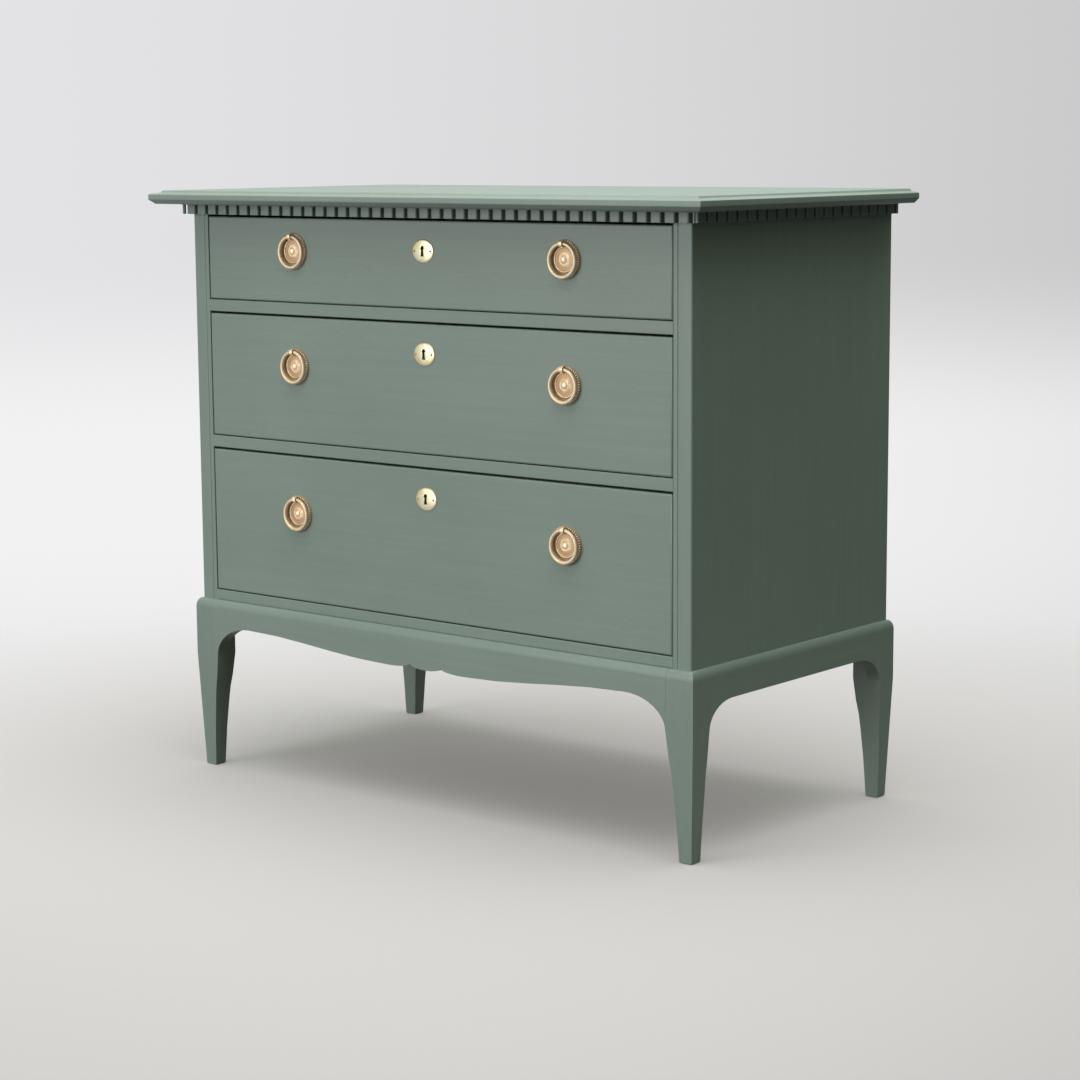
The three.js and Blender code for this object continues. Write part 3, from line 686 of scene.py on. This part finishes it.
def set_copy(pattern, name, place, body, slot, *stands_for):
    """A copy of a pattern with its own mesh, moved to its place, riding on a body."""
    piece = added(name, pattern.data.copy())
    piece.location = place
    settle(piece)
    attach(piece, body)
    if stands_for:
        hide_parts(*stands_for)
    return piece


def finished(pattern, material, angle=40):
    """Smooth shading and one material for a pattern."""
    take(pattern)
    bpy.ops.object.shade_smooth_by_angle(angle=math.radians(angle))
    return coat(pattern, material)


# %% [markdown]
# The backplate is a thin casting: a rim of small pearls between two fillets, a hollow that the ring lies
# over, a raised bead, a shallow dish and a button in the middle. The pearls are one small sphere, sunk a
# little into the rim and spun round it as separate copies, because a casting's pearls are never cut through.

# %% Backplate of a pull
PLATE_RADIUS = 24.2
PEARLS = 46
PEARL_RADIUS = 1.25
PEARL_ROW = 22.4
PEARL_STAND = 1.9
PLATE_PROFILE = (
    [(PLATE_RADIUS, 0.0), (PLATE_RADIUS, 0.9)]
    + arc((23.8, 1.0), 0.4, 0, 90, 3)
    + [(23.5, 1.3), (21.2, 1.3)]
    + arc((20.6, 1.5), 0.6, 20, 160, 5)
    + [(19.7, 1.1), (18.0, 0.8), (16.3, 0.8)]
    + arc((15.0, 1.2), 1.1, 20, 160, 7)
    + [(13.5, 1.2), (12.2, 1.25), (10.1, 1.5), (8.2, 2.0), (7.3, 2.3)]
    + arc((6.6, 2.3), 0.55, 0, 180, 5)
    + [(5.5, 2.2)]
    + dome(4.8, 2.2, 2.9, (8, 25, 42, 58, 72, 84))
)


def pearl_row():
    """The pearls of one rim, spun round the plate's middle."""
    bpy.ops.mesh.primitive_uv_sphere_add(
        segments=8, ring_count=6, radius=PEARL_RADIUS * MM,
        location=(0, -PEARL_STAND * MM, PEARL_ROW * MM), rotation=AXIS_TO_Y,
    )
    pearls = settle(bpy.context.active_object)
    bpy.ops.object.mode_set(mode="EDIT")
    bpy.ops.mesh.select_all(action="SELECT")
    bpy.ops.mesh.spin(
        steps=PEARLS - 1, dupli=True, angle=2 * math.pi * (PEARLS - 1) / PEARLS,
        center=(0, 0, 0), axis=(0, 1, 0),
    )
    leave_edit_mode()
    return pearls


plate_pattern = turned("plate pattern", PLATE_PROFILE)
print("backplate:", triangles(plate_pattern), "triangles before the pearls")

# %% [markdown]
# At the top of the plate a small ear holds the ring. It is a stub of round bar across the plate, drawn
# back to the plate's face, and bored for the ring. A cylinder is the start: its faces towards the plate
# are pulled back and flattened, a boolean bores it, and a bevel rounds the casting's edges.

# %% Ear of a pull
EAR_HEIGHT = 19.3
EAR_STAND = 6.2
EAR_RADIUS = 4.3
EAR_BORE = 2.95
EAR_WIDTH = 5.0
EAR_FOOT = 1.2
EAR_DRAWN_BACK = 2
EAR_FLARE = (1.15, 0, 1.1)
CAST_ROUNDING = 0.45 * MM
BAR_SIDES = 40
NEARLY_FACING = 0.2


def combined(piece, tool, operation="DIFFERENCE"):
    """Cuts the tool's shape out of the piece, or adds it with UNION, and throws the tool away."""
    boolean = piece.modifiers.new("combined", "BOOLEAN")
    boolean.operation = operation
    boolean.object = tool
    bake_modifiers(piece)
    bpy.data.objects.remove(tool)
    return piece


def round_bar(radius, length, place, turn):
    """A stub of round bar, its radius and length in millimetres."""
    bpy.ops.mesh.primitive_cylinder_add(
        vertices=BAR_SIDES, radius=radius * MM, depth=length * MM, location=place, rotation=turn,
    )
    return settle(bpy.context.active_object)


def edit_faces(piece, way):
    """Goes into edit mode with the faces selected that look that way."""
    bpy.ops.object.mode_set(mode="EDIT")
    bpy.ops.mesh.select_all(action="DESELECT")
    bpy.ops.object.mode_set(mode="OBJECT")
    for face in piece.data.polygons:
        face.select = face.normal.dot(way) > NEARLY_FACING
    bpy.ops.object.mode_set(mode="EDIT")
    bpy.ops.mesh.select_mode(type="FACE")


def ear():
    """The bored ear, with its foot in the plate."""
    middle = Vector((0, -EAR_STAND * MM, EAR_HEIGHT * MM))
    foot = Vector((0, -EAR_FOOT * MM, EAR_HEIGHT * MM))
    stub = round_bar(EAR_RADIUS, EAR_WIDTH, middle, AXIS_TO_X)
    edit_faces(stub, -TO_VIEWER)
    bpy.ops.mesh.extrude_region_move(TRANSFORM_OT_translate={"value": (0, EAR_DRAWN_BACK * MM, 0)})
    bpy.ops.transform.resize(value=EAR_FLARE, center_override=foot)
    bpy.ops.mesh.select_all(action="SELECT")
    bpy.ops.mesh.remove_doubles(threshold=SAME_POINT)
    leave_edit_mode()
    combined(stub, round_bar(EAR_BORE, 3 * EAR_WIDTH, middle, AXIS_TO_X))
    return rounded(stub, CAST_ROUNDING)


def grimed_and_shaded(piece, up_to=math.inf, beyond=0.0):
    """Marks what lies up to a height and beyond a radius, both in millimetres, to be darkened as grime and as
    painted shade.
    """
    grime = piece.data.attributes.new("grime", "FLOAT", "POINT")
    for vertex, mark in zip(piece.data.vertices, grime.data):
        height = -vertex.co.y / MM
        radius = math.hypot(vertex.co.x, vertex.co.z) / MM
        if 0 <= height <= up_to and radius >= beyond:
            mark.value = 1.0
    return piece


plate_pattern = finished(joined("plate pattern", plate_pattern, pearl_row(), ear()), plate_brass)
# The hollow under the ring and the pearls' feet are darkened: grime and painted shade from the ring.
grimed_and_shaded(plate_pattern, up_to=1.4, beyond=15.9)
print("backplate with pearls and ear:", triangles(plate_pattern), "triangles")

# %% [markdown]
# The ring is a bent wire, a little thinner where it turns in the ear and fuller at the bottom, where the
# fingers hold it. A torus gives the wire, and a Displace modifier swells it: the weight of each point grows
# towards the bottom, so the swelling fades out by itself.

# %% Ring of a pull
RING_RADIUS = 20.2
WIRE_RADIUS = 2.3
RING_DROP = 0.9
FULLNESS = 0.3


def ring():
    """The ring at rest, hanging in the ear."""
    middle = Vector((0, -EAR_STAND * MM, -RING_DROP * MM))
    bpy.ops.mesh.primitive_torus_add(
        major_radius=RING_RADIUS * MM, minor_radius=WIRE_RADIUS * MM, major_segments=96, minor_segments=20,
        location=middle, rotation=AXIS_TO_Y,
    )
    wire = settle(bpy.context.active_object)
    wire.name = "ring pattern"
    lower = wire.vertex_groups.new(name="lower")
    for vertex in wire.data.vertices:
        share = (middle.z + RING_RADIUS * MM - vertex.co.z) / (2 * RING_RADIUS * MM)
        lower.add([vertex.index], min(max(share, 0.0), 1.0), "REPLACE")
    swelling = wire.modifiers.new("fuller at the bottom", "DISPLACE")
    swelling.vertex_group = "lower"
    swelling.mid_level = 0.0
    swelling.strength = FULLNESS * MM
    bake_modifiers(wire)
    wire.vertex_groups.clear()
    return wire


ring_pattern = finished(ring(), ring_brass, 60)
print("ring:", triangles(ring_pattern), "triangles")

# %% [markdown]
# The escutcheon is a thin oval plate, barely domed. It is turned round first and then drawn out sideways, as
# an oval chuck would do it. The keyhole, a round head over a slot that widens downwards, goes right through,
# and its edge is rounded as a stamped one is. Two small pins at nine and three o'clock hold the plate.

# %% Keyhole escutcheon
SHIELD_HALF_WIDTH = 18.0
SHIELD_HALF_HEIGHT = 15.0
FLANGE = 0.6
DOME_RADIUS = 14.75
DOME_RISE = 1.8
STAMPED_ROUNDING = 0.2 * MM
KEY_RISE = 3.9
KEY_HEAD = 2.8
KEY_SLOT = 10.7
SLOT_WIDTH = 3.2
SLOT_FLARE = 1.6
TOOL_LENGTH = 20
PIN_ROW = 13.4
PIN_RADIUS = 1.7
PIN_STAND = 1.6
PIN_FLATNESS = 0.6
SHIELD_PROFILE = (
    [(SHIELD_HALF_HEIGHT, 0.0), (SHIELD_HALF_HEIGHT, 0.4), (DOME_RADIUS, FLANGE)]
    + dome(DOME_RADIUS, FLANGE, DOME_RISE, (*range(10, 90, 10), 88))
)


def oval_plate():
    """The turned plate, drawn out sideways."""
    plate = turned("shield pattern", SHIELD_PROFILE)
    plate.scale.x = SHIELD_HALF_WIDTH / SHIELD_HALF_HEIGHT
    return settle(plate)


def block(size, middle):
    """A square block, in millimetres, to cut with or to shape further."""
    bpy.ops.mesh.primitive_cube_add(size=1, location=[value * MM for value in middle])
    cube = bpy.context.active_object
    cube.scale = [value * MM for value in size]
    return settle(cube)


def keyhole_tool():
    """A round bar and a slab that widens downwards, joined, that cut the keyhole."""
    head = round_bar(KEY_HEAD, TOOL_LENGTH, (0, 0, KEY_RISE * MM), AXIS_TO_Y)
    slot = block((SLOT_WIDTH, TOOL_LENGTH, KEY_SLOT), (0, 0, KEY_RISE - KEY_SLOT / 2))
    edit_faces(slot, Vector((0, 0, -1)))
    bpy.ops.transform.resize(
        value=(SLOT_FLARE, 1, 1), center_override=(0, 0, (KEY_RISE - KEY_SLOT) * MM),
    )
    bpy.ops.object.mode_set(mode="OBJECT")
    return combined(head, slot, "UNION")


def pin_head(x):
    """A small domed pin head, x millimetres from the middle."""
    bpy.ops.mesh.primitive_uv_sphere_add(
        segments=16, ring_count=8, radius=PIN_RADIUS * MM, location=(x * MM, -PIN_STAND * MM, 0),
        rotation=AXIS_TO_Y,
    )
    head = bpy.context.active_object
    head.scale.z = PIN_FLATNESS
    return settle(head)


shield = rounded(combined(oval_plate(), keyhole_tool()), STAMPED_ROUNDING)
shield = finished(shield, escutcheon_brass)
pins = [grimed_and_shaded(finished(pin_head(x), plate_brass)) for x in (-PIN_ROW, PIN_ROW)]
shield_pattern = joined("shield pattern", shield, *pins)
print("escutcheon:", triangles(shield_pattern), "triangles")

# %% [markdown]
# Now the patterns are set on their drawers. Each copy takes its place from the node that it stands for:
# the middle of the plate's round outline, which the ring at rest shares, and the middle of the escutcheon.

# %% Fittings in their places
def plate_middle(node, depth):
    """The middle of a backplate's round outline, at a depth of the chest."""
    low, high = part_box(node)
    return Vector(((low[0] + high[0]) / 2, depth, low[2] + PLATE_RADIUS * MM))


fittings = []
for level in LEVELS:
    drawer = level + "_drawer"
    for hand in HANDS:
        plate = f"{level}_pull_plate_{hand}"
        middle = plate_middle(plate, FACE)
        fittings.append(set_copy(plate_pattern, plate + "_cast", middle, drawer, "aged_brass", plate))
        ring_node = f"{level}_pull_ring_{hand}"
        fittings.append(set_copy(
            ring_pattern, ring_node + "_wire", middle, f"{level}_ring_{hand}", "aged_brass", ring_node,
        ))
    shield = level + "_escutcheon"
    low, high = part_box(shield)
    middle = Vector(((low[0] + high[0]) / 2, FACE, (low[2] + high[2]) / 2))
    fittings.append(set_copy(shield_pattern, shield + "_spun", middle, drawer, "bright_brass", shield))
for pattern in (plate_pattern, ring_pattern, shield_pattern):
    bpy.data.objects.remove(pattern)
print(len(fittings), "fittings,", triangles(*fittings), "triangles")

# %% [markdown]
# The lock cases and bolts keep the frame's shapes and get their iron. What holds them, and the pulls, shows
# once a drawer is open: four slotted screws in each lock, and a square nut on a washer behind each pull.
# They are modelled facing the viewer like the other fittings and then turned round to face the back.

# %% Locks, screws and nuts
SCREW_PROFILE = [(3.2, 0.0), (3.2, 0.15), (2.9, 0.4), (1.6, 0.6)]
SCREW_SLOT = (0.8, 0.7, 8), (0, -0.5, 0)
SCREW_INSET = 6.5 * MM
WASHER_PROFILE = [(6.5, 0.0), (6.5, 0.8), (6.2, 1.0), (3.0, 1.0)]
NUT = (8, 3.2, 8), (0, -2.6, 0)
NUT_ROUNDING = 0.5 * MM
BOLT_PROFILE = [(2.0, 3.0), (2.0, 5.0), (1.6, 5.4), (0.8, 5.55)]


def facing_back(pattern):
    """Turns a pattern round, so that it stands out towards +Y."""
    pattern.rotation_euler.z = math.pi
    return settle(pattern)


for level in LEVELS:
    for part in ("lock_case", "lock_bolt"):
        coat(nodes[f"{level}_{part}"], iron)

screw_pattern = combined(turned("screw pattern", SCREW_PROFILE, 24), block(*SCREW_SLOT))
screw_pattern = facing_back(finished(screw_pattern, screw_iron))
nut_pattern = joined(
    "nut pattern",
    turned("washer", WASHER_PROFILE, 32),
    rounded(block(*NUT), NUT_ROUNDING),
    turned("bolt end", BOLT_PROFILE, 20),
)
nut_pattern = facing_back(finished(nut_pattern, screw_iron))

fixings = []
for level in LEVELS:
    drawer = level + "_drawer"
    low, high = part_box(level + "_lock_case")
    corners = [(x, z) for x in (low[0] + SCREW_INSET, high[0] - SCREW_INSET)
               for z in (low[2] + SCREW_INSET, high[2] - SCREW_INSET)]
    for number, (x, z) in enumerate(corners, 1):
        place = Vector((x, high[1], z))
        screw = f"{level}_lock_screw_{number}"
        fixings.append(set_copy(screw_pattern, screw, place, drawer, "lock_steel"))
    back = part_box(drawer + "_front")[1][1]
    for hand in HANDS:
        place = plate_middle(f"{level}_pull_plate_{hand}", back)
        fixings.append(set_copy(nut_pattern, f"{level}_pull_nut_{hand}", place, drawer, "lock_steel"))
for pattern in (screw_pattern, nut_pattern):
    bpy.data.objects.remove(pattern)
print(len(fixings), "screws and nuts,", triangles(*fixings), "triangles")

# %% [markdown]
# The back is nailed into the rebates of the side panels and into the edges of the boards behind it. One
# small head is turned, copied up both sides and across the bottom board and the two runner boards, and all
# are joined.

# %% Nails in the back
NAIL_PROFILE = [(2.2, 0.0), (2.2, 0.2), (1.5, 0.45)]
NAIL_PITCH = 95 * MM
NAIL_INSET = 5 * MM


def nail_line(start, end):
    """Evenly spaced places between two corners."""
    steps = max(1, round((end - start).length / NAIL_PITCH))
    return [start.lerp(end, (step + 0.5) / steps) for step in range(steps)]


def nail_places():
    """Where the nails go, up both sides and across the boards that the back is nailed to."""
    low, high = (Vector(corner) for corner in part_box("back_panel"))
    left, right = low.x + NAIL_INSET, high.x - NAIL_INSET
    places = []
    for x in (left, right):
        places += nail_line(Vector((x, high.y, low.z)), Vector((x, high.y, high.z)))
    for board in ("bottom_board", "lower_runner_board", "upper_runner_board"):
        board_low, board_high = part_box(board)
        z = (board_low[2] + board_high[2]) / 2
        places += nail_line(Vector((left, high.y, z)), Vector((right, high.y, z)))
    return places


nail_pattern = facing_back(finished(turned("nail", NAIL_PROFILE, 12), screw_iron))
heads = []
for place in nail_places():
    heads.append(added("nail", nail_pattern.data.copy()))
    heads[-1].location = place
bpy.data.objects.remove(nail_pattern)
print(len(heads), "nails")
nails = settle(joined("back_panel_nails", *heads))
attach(nails, "carcass")

# %% [markdown]
# The camera stands where the photographer stood. Its place, turn and focal length were fitted to the
# chest's own edges, so they are plain numbers here.

# %% Camera
CAMERA_PLACE = Vector((2.2337, -2.6541, 0.8651))
FOCAL_LENGTH = 87.04
SENSOR_WIDTH = 36.0
YAW, PITCH, ROLL = (math.radians(angle) for angle in (39.772, 8.723, -0.397))

camera = added("camera", bpy.data.cameras.new("camera"))
camera.data.lens = FOCAL_LENGTH
camera.data.sensor_width = SENSOR_WIDTH
camera.matrix_world = (
    Matrix.Translation(CAMERA_PLACE)
    @ Matrix.Rotation(YAW, 4, "Z")
    @ Matrix.Rotation(QUARTER - PITCH, 4, "X")
    @ Matrix.Rotation(ROLL, 4, "Z")
)
bpy.context.scene.camera = camera

# %% [markdown]
# The studio floor takes the chest's shadow close by and fades out further off, so that no horizon shows.
# Mixing a Transparent shader in by the distance from the middle does that. The light that it throws back up
# at the chest is dimmer than it looks, as on a floor that goes on into a dark room.

# %% Floor
FLOOR = pigment(188, 182, 188)
FLOOR_BOUNCE = pigment(90, 88, 84)
FLOOR_SIZE = 12
FADE_START = 0.35
FADE_END = 1.6
CLEAR_UNDER_CHEST = 0.2


def seen_directly(tree):
    """1 for what the eye and reflections see, 0 for light that falls on things."""
    mirrored = tree.node("LightPath", output="Is Glossy Ray")
    return mirrored.maths("MAXIMUM", mirrored, tree.node("LightPath", output="Is Camera Ray"))


def studio_floor():
    """The floor, which fades out with the distance."""
    bpy.ops.mesh.primitive_plane_add(size=FLOOR_SIZE, location=(0, 0, 0))
    floor = take(bpy.context.active_object)
    floor.name = "studio_floor"
    finish = Finish("studio_floor", Roughness=0.9, Specular_IOR_Level=0.2)
    colour = finish.blend(seen_directly(finish), FLOOR_BOUNCE, FLOOR)
    finish.feed(finish.shader.inputs["Base Color"], colour)
    faded = finish.spread(finish.length(finish.place), FADE_START, FADE_END, CLEAR_UNDER_CHEST)
    solid = Field(finish, finish.shader.outputs[0])
    surface = finish.node("MixShader", {}, {0: faded, 1: solid, 2: finish.node("BsdfTransparent")})
    finish.feed(finish.tree.nodes["Material Output"].inputs["Surface"], surface)
    floor.data.materials.append(finish.material)


studio_floor()

# %% [markdown]
# A broad soft lamp from the front left lights the drawer fronts, and a large one overhead the top. The
# lamps are set so that the paint renders about as it is written.

# %% Lamps
def soft_lamp(name, place, target, size, power):
    """A square lamp, size metres wide, that shines from its place at the target."""
    lamp = added(name, bpy.data.lights.new(name, "AREA"))
    lamp.data.shape = "SQUARE"
    lamp.data.size = size
    lamp.data.energy = power
    lamp.location = place
    lamp.rotation_mode = "QUATERNION"
    lamp.rotation_quaternion = (Vector(target) - Vector(place)).to_track_quat("-Z", "Y")


soft_lamp("key lamp", place=(-1.2, -3.9, 1.05), target=(0, 0, 0.45), size=2.2, power=87.5)
soft_lamp("top lamp", place=(0.25, -0.25, 3.3), target=(0, 0, 0.5), size=3.2, power=120)

# %% [markdown]
# The room is two things. The eye and every reflection see a pale backdrop: a little darker near the floor's
# edge and up on the right, and white overhead. Far round to the right, where the chest's end looks, it is dim
# in reflections but hardly to the eye. The light that falls on the chest from the room is only a glow, nearly
# all of it from above. Light Path tells the kinds of ray apart. Each change goes on between two values of a
# direction, which is 1 straight up, straight to the right or straight to the back.

# %% Room
BACKDROP_NEAR = pigment(210, 208, 206)
BACKDROP_LOW = pigment(242, 242, 243)
BACKDROP_HIGH = pigment(228, 228, 230)
BACKDROP_HIGH_RIGHT = pigment(210, 210, 211)
BACKDROP_OVERHEAD = pigment(255, 255, 255)
BACKDROP_RIGHT = pigment(104, 104, 105)
BEHIND_CAMERA = pigment(205, 205, 206)
FLOOR_EDGE = -0.3, -0.14
HORIZON = -0.115, -0.04
CEILING = 0.07, 0.3
HIGH_RIGHT = -0.83, -0.47
FAR_RIGHT = -0.65, 0.3
TO_THE_FRONT = 0.1, -0.7
DIM_TO_THE_EYE = 0.12
GLOW_COLOUR = pigment(238, 252, 218)
GLOW_RISE = 0, 0.9
GLOW_LOW = 0.03
GLOW_HIGH = 0.88

world = bpy.data.worlds.new("pale room")
bpy.context.scene.world = world
world.use_nodes = True
room = Nodes(world.node_tree)
way = room.node("TexCoord", output="Generated")
right, aft, up = (room.node("SeparateXYZ", {}, {"Vector": way}, output=axis) for axis in "XYZ")
pale = room.blend(room.spread(up, *FLOOR_EDGE), BACKDROP_NEAR, BACKDROP_LOW)
wall = room.blend(room.spread(right, *HIGH_RIGHT), BACKDROP_HIGH, BACKDROP_HIGH_RIGHT)
pale = room.blend(room.spread(up, *HORIZON), pale, wall)
pale = room.blend(room.spread(up, *CEILING), pale, BACKDROP_OVERHEAD)
away = room.spread(right, *FAR_RIGHT)
dimmed = away.maths("MINIMUM", away, room.node("LightPath", output="Is Glossy Ray") + DIM_TO_THE_EYE)
pale = room.blend(dimmed, pale, BACKDROP_RIGHT)
pale = room.blend(room.spread(aft, *TO_THE_FRONT), pale, BEHIND_CAMERA)
backdrop = room.node("Background", {}, {"Color": pale, "Strength": 1.0})
glow_strength = room.spread(up, *GLOW_RISE, GLOW_LOW, GLOW_HIGH)
glow = room.node("Background", {}, {"Color": GLOW_COLOUR, "Strength": glow_strength})
shown = room.node("MixShader", {}, {0: seen_directly(room), 1: glow, 2: backdrop})
room.feed(world.node_tree.nodes["World Output"].inputs["Surface"], shown)

# %% Plain view transform
bpy.context.scene.view_settings.view_transform = "Standard"
